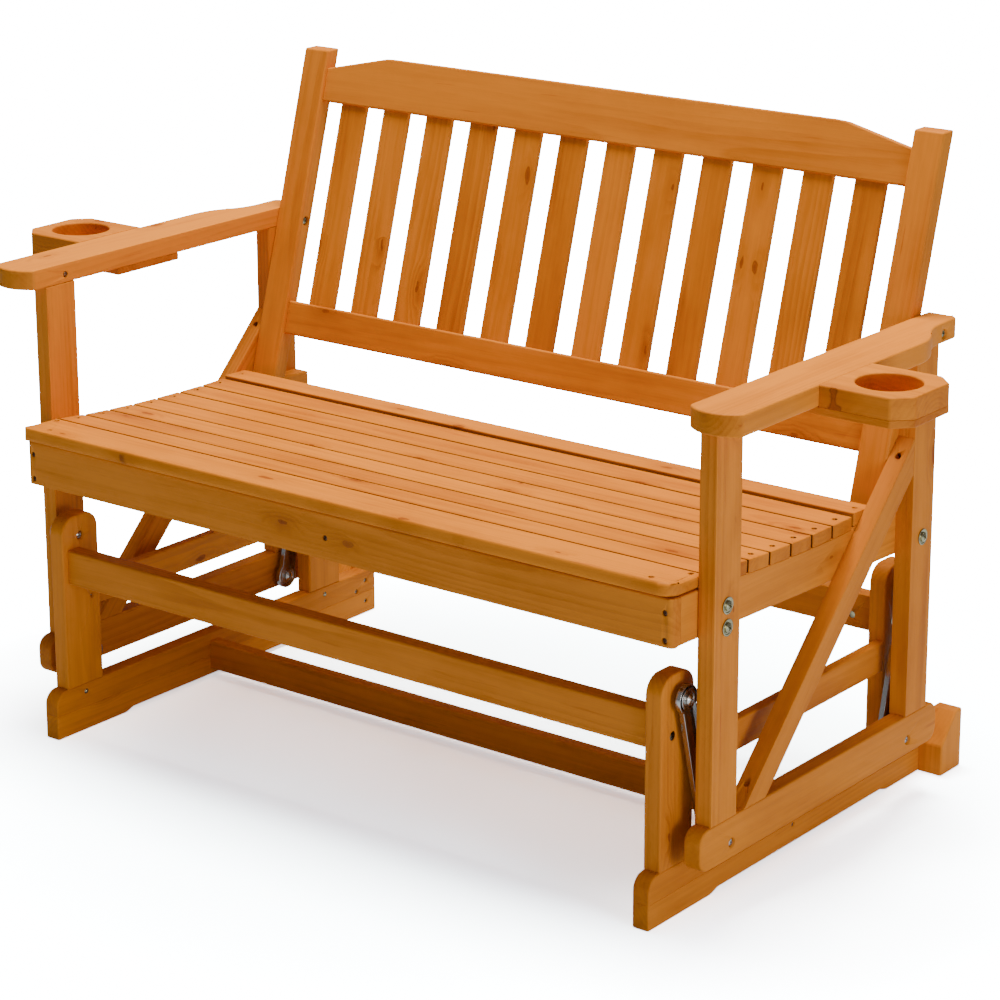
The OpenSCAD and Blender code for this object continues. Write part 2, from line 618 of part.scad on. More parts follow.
// ---------- sub-parts ----------
module base_rail_left() { color(wood) side(-1) base_rail_solid(); }
module base_rail_right() { color(wood) side(1) base_rail_solid(); }
module base_runner_left() { color(wood_dark) side(-1) base_runner_solid(); }
module base_runner_right() { color(wood_dark) side(1) base_runner_solid(); }
module stub_front_left() { color(wood) side(-1) stub_solid(up_front); }
module stub_front_right() { color(wood) side(1) stub_solid(up_front); }
module stub_rear_left() { color(wood) side(-1) stub_solid(up_rear); }
module stub_rear_right() { color(wood) side(1) stub_solid(up_rear); }
module cross_rail_front() { color(wood_dark) cross_rail_solid(up_front, 1); }
module cross_rail_rear() { color(wood_dark) cross_rail_solid(up_rear, -1); }
module side_stretcher_left() { color(wood_dark) side(-1) stretcher_solid(); }
module side_stretcher_right() { color(wood_dark) side(1) stretcher_solid(); }
module floor_stretcher() { color(wood_dark) at_legs() difference() {
  translate([-stub_x, floor_screw[0] - 10, 14]) cube([2 * stub_x, 20, 44]);
  for (s = [-1, 1]) side(s) rod_x(stub_x - 26, stub_x + 1, floor_screw[0], floor_screw[1], 4.4);
} }
module stop_block_left() { color(wood) side(-1) block_solid(); }
module stop_block_right() { color(wood) side(1) block_solid(); }
module cross_bolts() { color(steel) { cross_bolt_solid(up_front, 1); cross_bolt_solid(up_rear, -1); } }
module base_screws() { color(steel) base_screw_set(); }
module upper_pivot_bolts() { color(steel) { upper_bolt(up_front); upper_bolt(up_rear); } }
module link_front_left() { color(dark_steel) side(-1) link_solid(up_front, pivot_front); }
module link_front_right() { color(dark_steel) side(1) link_solid(up_front, pivot_front); }
module link_rear_left() { color(dark_steel) side(-1) link_solid(up_rear, pivot_rear); }
module link_rear_right() { color(dark_steel) side(1) link_solid(up_rear, pivot_rear); }
module bearings_front_left() { color(steel) side(-1) bearing_pair(up_front, pivot_front, pivot_bolt + 0.06); }
module bearings_front_right() { color(steel) side(1) bearing_pair(up_front, pivot_front, pivot_bolt + 0.06); }
module bearings_rear_left() { color(steel) side(-1) bearing_pair(up_rear, pivot_rear, loose_bore); }
module bearings_rear_right() { color(steel) side(1) bearing_pair(up_rear, pivot_rear, loose_bore); }
module front_leg_left() { color(wood) side(-1) leg_solid(0); }
module front_leg_right() { color(wood) side(1) leg_solid(0); }
module rear_post_left() { color(wood) side(-1) leg_solid(leg_spacing); }
module rear_post_right() { color(wood) side(1) leg_solid(leg_spacing); }
module swing_rail_left() { color(wood) side(-1) swing_rail_solid(); }
module swing_rail_right() { color(wood) side(1) swing_rail_solid(); }
module brace_left() { color(wood) side(-1) brace_solid(); }
module brace_right() { color(wood) side(1) brace_solid(); }
module arm_left() { color(wood) side(-1) arm_solid(); }
module arm_right() { color(wood) side(1) arm_solid(); }
module cup_block_left() { color(wood) side(-1) cup_block_solid(); }
module cup_block_right() { color(wood) side(1) cup_block_solid(); }
module cup_board_left() { color(wood_dark) side(-1) cup_board_solid(); }
module cup_board_right() { color(wood_dark) side(1) cup_board_solid(); }
module seat_rail_left() { color(wood) side(-1) seat_rail_solid(); }
module seat_rail_right() { color(wood) side(1) seat_rail_solid(); }
module seat_rail_middle() { color(wood_dark) seat_rail_middle_solid(); }
module front_apron() { color(wood) front_apron_solid(); }
module rear_apron() { color(wood_dark) rear_apron_solid(); }
module front_seat_slat() { color(wood) front_slat_solid(); }
module seat_slats() { color(wood) seat_slat_set(); }
module stile_left() { color(wood) side(-1) stile_solid(); }
module stile_right() { color(wood) side(1) stile_solid(); }
module top_back_rail() { color(wood) top_rail_solid(); }
module low_back_rail() { color(wood) low_rail_solid(); }
module back_slats() { color(wood) back_slat_set(); }
module lower_pivot_bolts() { color(steel) { lower_bolt(pivot_front, pivot_bolt); lower_bolt(pivot_rear, loose_bolt); } }
module frame_bolts() { color(steel) frame_bolt_set(); }
module frame_screws() { color(steel) frame_screw_set(); }

base_rail_left();
base_rail_right();
base_runner_left();
base_runner_right();
stub_front_left();
stub_front_right();
stub_rear_left();
stub_rear_right();
cross_rail_front();
cross_rail_rear();
side_stretcher_left();
side_stretcher_right();
floor_stretcher();
stop_block_left();
stop_block_right();
cross_bolts();
base_screws();
upper_pivot_bolts();
link_front_left();
link_front_right();
link_rear_left();
link_rear_right();
bearings_front_left();
bearings_front_right();
bearings_rear_left();
bearings_rear_right();
front_leg_left();
front_leg_right();
rear_post_left();
rear_post_right();
swing_rail_left();
swing_rail_right();
brace_left();
brace_right();
arm_left();
arm_right();
cup_block_left();
cup_block_right();
cup_board_left();
cup_board_right();
seat_rail_left();
seat_rail_right();
seat_rail_middle();
front_apron();
rear_apron();
front_seat_slat();
seat_slats();
stile_left();
stile_right();
top_back_rail();
low_back_rail();
back_slats();
lower_pivot_bolts();
frame_bolts();
frame_screws();
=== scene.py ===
"""Garden glider bench: stained softwood boards, pressed steel links and zinc hardware."""
import json
import math

import bmesh
import bpy
import numpy as np
from mathutils import Matrix
from mathutils.bvhtree import BVHTree

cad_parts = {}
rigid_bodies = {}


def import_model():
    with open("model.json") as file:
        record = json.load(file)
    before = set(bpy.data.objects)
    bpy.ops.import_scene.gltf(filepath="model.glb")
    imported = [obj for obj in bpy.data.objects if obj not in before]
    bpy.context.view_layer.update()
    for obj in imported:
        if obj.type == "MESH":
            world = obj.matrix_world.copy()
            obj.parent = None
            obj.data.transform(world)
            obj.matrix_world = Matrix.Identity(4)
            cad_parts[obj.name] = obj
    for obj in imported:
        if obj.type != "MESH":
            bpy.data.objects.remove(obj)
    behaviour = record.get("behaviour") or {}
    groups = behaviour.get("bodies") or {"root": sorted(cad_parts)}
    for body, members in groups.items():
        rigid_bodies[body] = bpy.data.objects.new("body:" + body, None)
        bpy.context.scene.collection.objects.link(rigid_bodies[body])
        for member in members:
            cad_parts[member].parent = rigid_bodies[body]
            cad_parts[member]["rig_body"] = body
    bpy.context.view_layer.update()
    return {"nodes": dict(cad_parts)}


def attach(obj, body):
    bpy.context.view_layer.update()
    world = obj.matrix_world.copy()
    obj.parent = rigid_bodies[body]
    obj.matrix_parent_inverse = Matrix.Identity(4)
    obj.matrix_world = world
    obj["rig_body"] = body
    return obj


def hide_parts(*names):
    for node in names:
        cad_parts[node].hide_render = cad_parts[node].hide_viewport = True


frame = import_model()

CAD = frame["nodes"]
BODY_OF = {name: obj["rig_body"] for name, obj in CAD.items()}

# Sizes of the bench's own details, in metres
EASE = 0.0028            # rounding on the long edges of the frame boards
SLAT_EASE = 0.0021       # rounding on the seat slats
NOSE_EASE = 0.0055       # rounding on the front seat slat
THIN_EASE = 0.0012       # rounding on the back slats
CUP_EASE = 0.0015        # rounding on the boards under the cup holders
FITTED_EASE = 0.0008     # rounding where a board is glued or butted to another
TOUCH = 0.0004           # boards nearer than this touch
SHORT_EDGE = 0.0012      # facets of small bores are shorter than this
SAME_POINT = 1e-6        # corners nearer than this are one corner
RIM_STEP = 0.0035        # least width of a washer's flat face
RIM_SINK = 0.0007        # depth of the groove in it
# the groove and the crowned rim of a washer: share of the face's width, share of the groove's depth
RIM_SHAPE = ((0.05, 1.0), (0.34, 1.0), (0.52, 0.15), (0.80, 0.0), (0.97, 0.45))
LARGE_HEAD = 0.004       # heads with a larger radius get more rings
CROSS_DEPTH = 0.42       # depth of a cross recess, as a share of the head's radius
TAPER = 2.2              # length of a screw's point, in radii of its shank
FIRST_SEED = 400         # seed of the first board's draws
LEAN = math.radians(16)  # recline of the back
SHARP = math.radians(34)  # edges that turn by more than this stay sharp
FLAT = math.radians(0.6)  # faces that turn by less than this are one face
GLUED = 0.7              # an edge with this share of its length on another board is fitted
PITH_NEAR, PITH_FAR = 0.022, 0.075    # how far outside its board a pith line may run
GAP_SHADE = 3.0          # how much painted shade darkens the seat slats' sides that face the gaps between them

# The studio
CAMERA_PLACE = (2.5428, -3.2449, 1.6885)
CAMERA_LENS, CAMERA_SHIFT = 113.62, -0.1
CAMERA_TURN, CAMERA_FALL, CAMERA_ROLL = 37.824, 15.982, -0.154    # degrees
FLOOR_REACH = 30.0
# the room's strength for soft light, for reflections and for the camera
ROOM_LIGHT, ROOM_GLOSS, ROOM_SEEN = 0.22, 0.30, 16.0
TOP_POWER, SIDE_POWER = 240.0, 34.0
TOP_TINT = (1.0, 0.94, 0.76)
FLOOR_BOUNCE, FLOOR_SEEN = (0.68, 0.80, 1.0), 6.6
FLOOR_SEEN_TINT = (0.86, 1.06, 1.32)
FLOOR_GLOW_NEAR, FLOOR_GLOW_FAR = 0.3, 16.0
FLOOR_GLOW_START, FLOOR_GLOW_END = 0.4, 1.35

# Colours inside the wood, the painted shade on the seat slats' sides that face the gaps, and how many
# growth rings a metre of it has
RESIN = (0.38, 0.070, 0.008, 1)
# painted shade: the dark colour that the seat slats' sides facing the gaps turn to
SHADED_SIDE = (0.10, 0.026, 0.004, 1)
KNOT_RING, KNOT_HEART, KNOT_EDGE = (0.36, 0.080, 0.007, 1), (0.24, 0.050, 0.006, 1), (0.13, 0.026, 0.004, 1)
RINGS = 165.0

X_AXIS, Y_AXIS, Z_AXIS = np.eye(3)
BACK_UP = np.array([0, math.sin(LEAN), math.cos(LEAN)])
BRACE_RUN = np.array([0, math.sqrt(0.5), math.sqrt(0.5)])


# ---------------------------------------------------------------- camera, light and floor
def studio_camera():
    """A long lens at head height, to the right of the bench."""
    data = bpy.data.cameras.new("studio_camera")
    data.sensor_width = 36.0
    data.lens = CAMERA_LENS
    data.shift_y = CAMERA_SHIFT
    data.clip_start, data.clip_end = 0.1, 100.0
    cam = bpy.data.objects.new("studio_camera", data)
    turn = (Matrix.Rotation(math.radians(CAMERA_TURN), 4, "Z")
            @ Matrix.Rotation(math.radians(90 - CAMERA_FALL), 4, "X")
            @ Matrix.Rotation(math.radians(CAMERA_ROLL), 4, "Z"))
    cam.matrix_world = Matrix.Translation(CAMERA_PLACE) @ turn
    bpy.context.scene.collection.objects.link(cam)
    bpy.context.scene.camera = cam


def soft_light(name, place, aim, size, power, tint=(1, 1, 1)):
    """A square area lamp at place that faces aim."""
    data = bpy.data.lights.new(name, "AREA")
    data.shape, data.size, data.energy, data.color = "SQUARE", size, power, tint
    lamp = bpy.data.objects.new(name, data)
    away = Matrix.Translation(place).to_translation() - Matrix.Translation(aim).to_translation()
    lamp.matrix_world = Matrix.Translation(place) @ away.to_track_quat("Z", "Y").to_matrix().to_4x4()
    bpy.context.scene.collection.objects.link(lamp)


def camera_white(graph, shader, seen):
    """Adds a white glow to a shader for rays that come straight from the camera; seen is its strength."""
    glow = graph.add("ShaderNodeEmission", {"Color": (1, 1, 1, 1), "Strength": seen})
    direct = graph.add("ShaderNodeLightPath").outputs["Is Camera Ray"]
    off = graph.add("ShaderNodeEmission", {"Color": (0, 0, 0, 1), "Strength": 0.0})
    lit = graph.add("ShaderNodeMixShader", {0: direct, 1: off, 2: glow})
    return graph.add("ShaderNodeAddShader", {0: shader, 1: lit})


def pale_floor():
    """A matt floor. It looks much paler to the camera than it is to the light that it throws back."""
    mesh = bpy.data.meshes.new("studio_floor")
    corners = [(x * FLOOR_REACH, y * FLOOR_REACH, 0) for x, y in ((-1, -1), (1, -1), (1, 1), (-1, 1))]
    mesh.from_pydata(corners, [], [(0, 1, 2, 3)])
    floor = bpy.data.objects.new("studio_floor", mesh)
    bpy.context.scene.collection.objects.link(floor)
    mat = bpy.data.materials.new("pale_floor")
    mat.use_nodes = True
    g = Graph(mat.node_tree)
    mat.node_tree.nodes.remove(mat.node_tree.nodes["Principled BSDF"])
    direct = g.add("ShaderNodeLightPath").outputs["Is Camera Ray"]
    seen = [FLOOR_SEEN * part for part in FLOOR_SEEN_TINT]
    tint = g.mix(direct, (*FLOOR_BOUNCE, 1), (*seen, 1))
    matt = g.add("ShaderNodeBsdfDiffuse", {"Color": tint})
    from_middle = g.length(g.add("ShaderNodeTexCoord").outputs["Object"])
    far = g.ramp(from_middle, FLOOR_GLOW_START, FLOOR_GLOW_END, FLOOR_GLOW_NEAR, FLOOR_GLOW_FAR)
    g.feed(mat.node_tree.nodes["Material Output"].inputs["Surface"], camera_white(g, matt, far))
    mesh.materials.append(mat)


def studio():
    """White room, pale floor, a large lamp overhead and a weaker one low at the right."""
    world = bpy.data.worlds.new("pale_room")
    bpy.context.scene.world = world
    world.use_nodes = True
    g = Graph(world.node_tree)
    sky = world.node_tree.nodes["Background"]
    sky.inputs["Color"].default_value = (1, 1, 1, 1)
    path = g.add("ShaderNodeLightPath").outputs
    glossy = g.math("MULTIPLY_ADD", path["Is Glossy Ray"], ROOM_GLOSS - ROOM_LIGHT, ROOM_LIGHT)
    strength = g.math("MULTIPLY_ADD", path["Is Camera Ray"], ROOM_SEEN - ROOM_LIGHT, glossy)
    g.feed(sky.inputs["Strength"], strength)
    soft_light("top_lamp", (-0.1, 0.35, 3.7), (0, 0, 0.4), 1.6, TOP_POWER, TOP_TINT)
    soft_light("side_lamp", (3.0, -0.8, 0.5), (0.5, 0, 0.25), 1.1, SIDE_POWER)
    pale_floor()


# ---------------------------------------------------------------- shader helpers
class Graph:
    """Short hand for adding and wiring nodes in one tree."""

    def __init__(self, tree):
        self.tree = tree

    def add(self, kind, inputs=None, **settings):
        node = self.tree.nodes.new(kind)
        for key, value in settings.items():
            setattr(node, key, value)
        for key, value in (inputs or {}).items():
            self.feed(node.inputs[key], value)
        return node

    def feed(self, socket, value):
        if isinstance(value, bpy.types.NodeSocket):
            self.tree.links.new(value, socket)
        elif isinstance(value, bpy.types.Node):
            self.tree.links.new(value.outputs[0], socket)
        else:
            socket.default_value = value

    def math(self, operation, *values, clamp=False):
        inputs = dict(enumerate(values))
        return self.add("ShaderNodeMath", inputs, operation=operation, use_clamp=clamp).outputs[0]

    def vector(self, operation, *values):
        return self.add("ShaderNodeVectorMath", dict(enumerate(values)), operation=operation).outputs[0]

    def length(self, vector):
        return self.add("ShaderNodeVectorMath", {0: vector}, operation="LENGTH").outputs["Value"]

    def scaled(self, vector, x, y, z):
        return self.vector("MULTIPLY", vector, (x, y, z))

    def noise(self, vector, scale, detail=3.0, roughness=0.5):
        inputs = {"Vector": vector, "Scale": scale, "Detail": detail, "Roughness": roughness}
        return self.add("ShaderNodeTexNoise", inputs).outputs["Fac"]

    def ramp(self, value, low, high, low_out=0.0, high_out=1.0):
        """A smooth step from low_out, where value is at low, to high_out at high."""
        inputs = {"Value": value, "From Min": low, "From Max": high, "To Min": low_out, "To Max": high_out}
        return self.add("ShaderNodeMapRange", inputs, interpolation_type="SMOOTHSTEP").outputs["Result"]

    def mix(self, fac, first, second):
        node = self.add("ShaderNodeMix", data_type="RGBA")
        self.feed(node.inputs[0], fac)
        self.feed(node.inputs[6], first)
        self.feed(node.inputs[7], second)
        return node.outputs[2]


def new_group(name, inputs, outputs):
    """An empty node group with the named sockets, its graph, and its input and output nodes."""
    tree = bpy.data.node_groups.new(name, "ShaderNodeTree")
    for label, kind, default in inputs:
        socket = tree.interface.new_socket(label, in_out="INPUT", socket_type=kind)
        if default is not None:
            socket.default_value = default
    for label, kind in outputs:
        tree.interface.new_socket(label, in_out="OUTPUT", socket_type=kind)
    graph = Graph(tree)
    return tree, graph, graph.add("NodeGroupInput"), graph.add("NodeGroupOutput")


def knots_of(g, grain, share):
    """Knots that go through a board's thickness. Some cells, by share, of a flat cell pattern that is drawn
    out along the board hold one. Gives the distance from the cell's middle, the knot's size, and masks for
    the knot and for the wood that bends round it."""
    warp = g.add("ShaderNodeTexNoise", {"Vector": grain, "Scale": 60.0, "Detail": 2.0}).outputs["Color"]
    warp = g.vector("MULTIPLY_ADD", warp, (0.16, 0.16, 0.0), g.scaled(grain, 8.5, 22.0, 0.0))
    inputs = {"Vector": warp, "Scale": 1.0, "Randomness": 0.9}
    cell = g.add("ShaderNodeTexVoronoi", inputs, voronoi_dimensions="2D")
    chance = g.add("ShaderNodeSeparateColor", {0: cell.outputs["Color"]})
    holds = g.ramp(chance.outputs[0], g.math("SUBTRACT", 1.0, share), g.math("SUBTRACT", 1.02, share))
    size = g.math("MULTIPLY_ADD", chance.outputs[1], 0.075, 0.040)
    away = cell.outputs["Distance"]
    knot = g.math("MULTIPLY", g.ramp(away, size, g.math("MULTIPLY", size, 0.5)), holds)
    bend = g.math("MULTIPLY", g.ramp(away, 0.46, 0.02), holds)
    return away, size, knot, bend


def late_wood(g, grain, bend):
    """The dark part of each growth ring. A ring is a step of the distance from the pith line, which wanders
    slowly along the board, ripples, and grows round knots. The rings show more strongly in some places."""
    wander = g.noise(g.scaled(grain, 1.3, 6.0, 6.0), 1.0, 2.0)
    ripple = g.noise(g.scaled(grain, 5.0, 34.0, 34.0), 1.0, 3.0)
    radius = g.length(g.scaled(grain, 0.0, 1.0, 1.0))
    radius = g.math("ADD", radius, g.math("MULTIPLY", g.math("SUBTRACT", wander, 0.5), 0.036))
    radius = g.math("ADD", radius, g.math("MULTIPLY", ripple, 0.0040))
    radius = g.math("ADD", radius, g.math("MULTIPLY", bend, 0.011))
    phase = g.math("FRACT", g.math("MULTIPLY", radius, RINGS))
    late = g.math("MULTIPLY", g.ramp(phase, 0.15, 0.88), g.ramp(phase, 0.88, 1.0, 1.0, 0.0))
    strength = g.ramp(g.noise(g.scaled(grain, 1.4, 22.0, 22.0), 1.0, 3.0), 0.34, 0.70, 0.05, 1.0)
    return g.math("MULTIPLY", late, strength)


def make_softwood_group():
    """Stained softwood: growth rings, small knots, and fibres, pores, resin and stain as noise drawn out
    along the board. The end value is 1 on faces across the grain, and more on the seat slats' sides that
    face the gaps, where it paints shade onto them."""
    tree, g, given, out = new_group(
        "softwood_figure_and_gap_shade",
        [("Grain", "NodeSocketVector", None), ("Tone", "NodeSocketFloat", 0.5),
         ("End", "NodeSocketFloat", 0.0), ("Light", "NodeSocketColor", (0.8, 0.4, 0.1, 1)),
         ("Dark", "NodeSocketColor", (0.4, 0.15, 0.03, 1)), ("Knots", "NodeSocketFloat", 0.5)],
        [("Color", "NodeSocketColor"), ("Roughness", "NodeSocketFloat"), ("Height", "NodeSocketFloat")])
    grain, tone, end = given.outputs["Grain"], given.outputs["Tone"], given.outputs["End"]
    away, size, knot, bend = knots_of(g, grain, given.outputs["Knots"])
    late = late_wood(g, grain, bend)
    fibre = g.noise(g.scaled(grain, 14.0, 900.0, 900.0), 1.0, 4.0, 0.65)
    streak = g.noise(g.scaled(grain, 3.0, 70.0, 70.0), 1.0, 4.0, 0.6)
    resin = g.ramp(g.noise(g.scaled(grain, 7.0, 130.0, 130.0), 1.0, 3.0, 0.6), 0.64, 0.78)
    blotch = g.noise(g.scaled(grain, 4.5, 12.0, 12.0), 1.0, 4.0, 0.6)
    pore = g.ramp(g.noise(g.scaled(grain, 45.0, 2400.0, 2400.0), 1.0, 2.0), 0.62, 0.74)
    # how dark the stain is: a sum of weighted parts; the end part also carries the painted shade on the
    # seat slats' gap sides
    dark = g.math("MULTIPLY", late, g.math("MULTIPLY_ADD", end, -0.10, 0.27))
    for part, weight in ((g.ramp(streak, 0.38, 0.72), 0.20), (g.ramp(fibre, 0.35, 0.75), 0.12),
                         (g.ramp(blotch, 0.36, 0.70), 0.26), (pore, 0.06),
                         (g.math("SUBTRACT", tone, 0.5), 0.50), (end, 0.30)):
        dark = g.math("ADD", dark, g.math("MULTIPLY", part, weight))
    dark = g.math("ADD", dark, g.math("MULTIPLY", bend, 0.30), clamp=True)
    body = g.mix(dark, given.outputs["Light"], given.outputs["Dark"])
    body = g.mix(g.math("MULTIPLY", resin, 0.50), body, RESIN)
    # painted shade: the seat slats' sides that face the gaps turn to the dark shaded-side colour
    body = g.mix(g.ramp(end, 1.2, 2.6), body, SHADED_SIDE)
    heart = g.ramp(away, g.math("MULTIPLY", size, 0.62), g.math("MULTIPLY", size, 0.30))
    edge = g.ramp(away, g.math("MULTIPLY", size, 0.50), g.math("MULTIPLY", size, 0.75))
    body = g.mix(g.math("MULTIPLY", knot, 0.80), body, g.mix(heart, KNOT_RING, KNOT_HEART))
    body = g.mix(g.math("MULTIPLY", g.math("MULTIPLY", edge, knot), 0.80), body, KNOT_EDGE)
    g.feed(out.inputs["Color"], body)
    smooth = g.math("MULTIPLY_ADD", late, -0.06, 0.40)
    g.feed(out.inputs["Roughness"], g.math("MULTIPLY_ADD", fibre, 0.16, smooth))
    height = g.math("MULTIPLY_ADD", late, 0.35, g.math("MULTIPLY", fibre, 0.45))
    g.feed(out.inputs["Height"], g.math("SUBTRACT", height, g.math("MULTIPLY", pore, 0.35)))
    return tree


def softwood(name, group, light, dark, knots):
    """A stained wood finish: the colours of early and late wood, and the share of places with a knot."""
    mat = bpy.data.materials.new(name)
    mat.use_nodes = True
    g = Graph(mat.node_tree)
    bsdf = mat.node_tree.nodes["Principled BSDF"]
    figure = g.add("ShaderNodeGroup", node_tree=group)
    for label in ("Grain", "Tone", "End"):
        attribute = g.add("ShaderNodeAttribute", attribute_name="board_" + label.lower())
        g.feed(figure.inputs[label], attribute.outputs["Vector" if label == "Grain" else "Fac"])
    figure.inputs["Light"].default_value = (*light, 1)
    figure.inputs["Dark"].default_value = (*dark, 1)
    figure.inputs["Knots"].default_value = knots
    g.feed(bsdf.inputs["Base Color"], figure.outputs["Color"])
    g.feed(bsdf.inputs["Roughness"], figure.outputs["Roughness"])
    height = figure.outputs["Height"]
    bump = g.add("ShaderNodeBump", {"Strength": 0.5, "Distance": 0.0004, "Height": height})
    g.feed(bsdf.inputs["Normal"], bump.outputs["Normal"])
    bsdf.inputs["Specular IOR Level"].default_value = 0.06
    return mat


def make_metal_wear_group():
    """Marks on plated steel: fine brushing lines, cloudy plating and small dull spots."""
    tree, g, given, out = new_group(
        "plating_marks",
        [("Base", "NodeSocketColor", (0.6, 0.6, 0.6, 1)), ("Worn", "NodeSocketColor", (0.3, 0.3, 0.3, 1))],
        [("Color", "NodeSocketColor"), ("Rough Add", "NodeSocketFloat"), ("Height", "NodeSocketFloat")])
    place = g.add("ShaderNodeTexCoord").outputs["Object"]
    cloud = g.noise(place, 90.0, 4.0, 0.6)
    scratch = g.noise(g.scaled(place, 60.0, 900.0, 220.0), 1.0, 3.0, 0.6)
    spot = g.ramp(g.noise(place, 420.0, 3.0, 0.6), 0.60, 0.72)
    worn = g.math("ADD", g.ramp(cloud, 0.45, 0.75, 0.0, 0.6), g.math("MULTIPLY", spot, 0.4), clamp=True)
    g.feed(out.inputs["Color"], g.mix(worn, given.outputs["Base"], given.outputs["Worn"]))
    g.feed(out.inputs["Rough Add"], g.math("MULTIPLY_ADD", worn, 0.12, g.math("MULTIPLY", scratch, 0.06)))
    g.feed(out.inputs["Height"], g.math("MULTIPLY_ADD", scratch, 0.6, g.math("MULTIPLY", cloud, 0.4)))
    return tree


def plated(name, group, base, worn, roughness):
    """A plated steel finish: worn is the colour where the plating has dulled."""
    mat = bpy.data.materials.new(name)
    mat.use_nodes = True
    g = Graph(mat.node_tree)
    bsdf = mat.node_tree.nodes["Principled BSDF"]
    marks = g.add("ShaderNodeGroup", node_tree=group)
    marks.inputs["Base"].default_value = (*base, 1)
    marks.inputs["Worn"].default_value = (*worn, 1)
    g.feed(bsdf.inputs["Base Color"], marks.outputs["Color"])
    g.feed(bsdf.inputs["Roughness"], g.math("ADD", marks.outputs["Rough Add"], roughness, clamp=True))
    height = marks.outputs["Height"]
    bump = g.add("ShaderNodeBump", {"Strength": 0.06, "Distance": 0.00003, "Height": height})
    g.feed(bsdf.inputs["Normal"], bump.outputs["Normal"])
    bsdf.inputs["Metallic"].default_value = 1.0
    return mat


# ---------------------------------------------------------------- boards
def read_array(items, field, width, kind=np.float64):
    """One field of a mesh's vertices, edges, loops or faces as an array, with width numbers in a row."""
    flat = np.zeros(len(items) * width, kind)
    items.foreach_get(field, flat)
    return flat.reshape(-1, width) if width > 1 else flat


def write_attribute(mesh, name, kind, domain, values):
    """Stores values as a named attribute on the mesh's points or faces."""
    attribute = mesh.attributes.new(name, kind, domain)
    field = "vector" if kind == "FLOAT_VECTOR" else "value"
    attribute.data.foreach_set(field, values.astype(np.float32).ravel())


def board_numbers(count, edges):
    """A number for each vertex, the same over each separate board: the lowest label flows along edges."""
    label = np.arange(count)
    while True:
        low = np.minimum(label[edges[:, 0]], label[edges[:, 1]])
        new = label.copy()
        np.minimum.at(new, edges[:, 0], low)
        np.minimum.at(new, edges[:, 1], low)
        new = new[new]
        if np.array_equal(new, label):
            return np.unique(label, return_inverse=True)[1]
        label = new


def write_grain(mesh, along, rng, tone_at, gap_shade):
    """Gives each vertex its place in its own board: metres along the grain, across the board's width and
    through its thickness, counted from a pith line set at random beside the board. Each board gets a tone
    near tone_at. Faces across the grain are marked as ends, and sides that face the next slat get painted
    shade by gap_shade, half as much on the rear slat, which stands above its neighbour."""
    co = read_array(mesh.vertices, "co", 3)
    board = board_numbers(len(co), read_array(mesh.edges, "vertices", 2, np.int64))
    boards = board.max() + 1
    side = np.cross(along, X_AXIS if abs(along[0]) < 0.9 else Z_AXIS)
    side /= np.linalg.norm(side)
    axes = np.stack([along, side, np.cross(along, side)])
    local = co @ axes.T
    low = np.full((boards, 3), np.inf)
    high = np.full((boards, 3), -np.inf)
    np.minimum.at(low, board, local)
    np.maximum.at(high, board, local)
    local -= ((low + high) / 2)[board]
    thin_first = ((high - low)[:, 1] < (high - low)[:, 2])[board]
    local[thin_first] = local[thin_first][:, [0, 2, 1]]
    angle = rng.uniform(-0.9, 0.9, boards) + np.where(rng.random(boards) < 0.5, 0.5, 1.5) * math.pi
    pith = rng.uniform(PITH_NEAR, PITH_FAR, boards)
    shift = np.stack([rng.uniform(2, 90, boards), np.cos(angle) * pith, np.sin(angle) * pith], 1)
    write_attribute(mesh, "board_grain", "FLOAT_VECTOR", "POINT", local + shift[board])
    tone = np.clip(rng.normal(tone_at, 0.20, boards), 0.05, 0.95)
    write_attribute(mesh, "board_tone", "FLOAT", "POINT", tone[board])
    normals = read_array(mesh.polygons, "normal", 3)
    corner = read_array(mesh.loops, "vertex_index", 1, np.int64)
    board_of_face = board[corner[read_array(mesh.polygons, "loop_start", 1, np.int64)]]
    rear = np.argmax(((low + high) @ axes)[:, 1])
    shade = np.where(board_of_face == rear, 0.5, 1.0) * gap_shade
    # end grain is real; the gap_shade term paints shade onto the seat slats' sides that face the gaps
    end = np.maximum(np.abs(normals @ along) ** 3, shade * np.abs(normals @ Y_AXIS) ** 4)
    write_attribute(mesh, "board_end", "FLOAT", "FACE", end)


class Neighbours:
    """The faces of all boards in one search tree, to tell a glued or butted edge from a free one."""

    def __init__(self, names):
        corners, faces, owner = [], [], []
        for name in names:
            mesh = CAD[name].data
            base = len(corners)
            corners += [v.co.copy() for v in mesh.vertices]
            for face in mesh.polygons:
                faces.append([base + i for i in face.vertices])
                owner.append(name)
        self.owner = owner
        self.tree = BVHTree.FromPolygons(corners, faces)

    def share(self, first, second, name, points=7):
        """How much of the line from first to second lies on another board, from 0 to 1."""
        met = 0
        for step in range(points):
            near = self.tree.find_nearest_range(first.lerp(second, (step + 0.5) / points), TOUCH)
            met += any(self.owner[hit[2]] != name for hit in near)
        return met / points


def merged_copy(node):
    """A CAD node's triangles in an edit mesh, with the corners that share a place merged."""
    bm = bmesh.new()
    bm.from_mesh(CAD[node].data)
    bmesh.ops.remove_doubles(bm, verts=bm.verts, dist=SAME_POINT)
    return bm


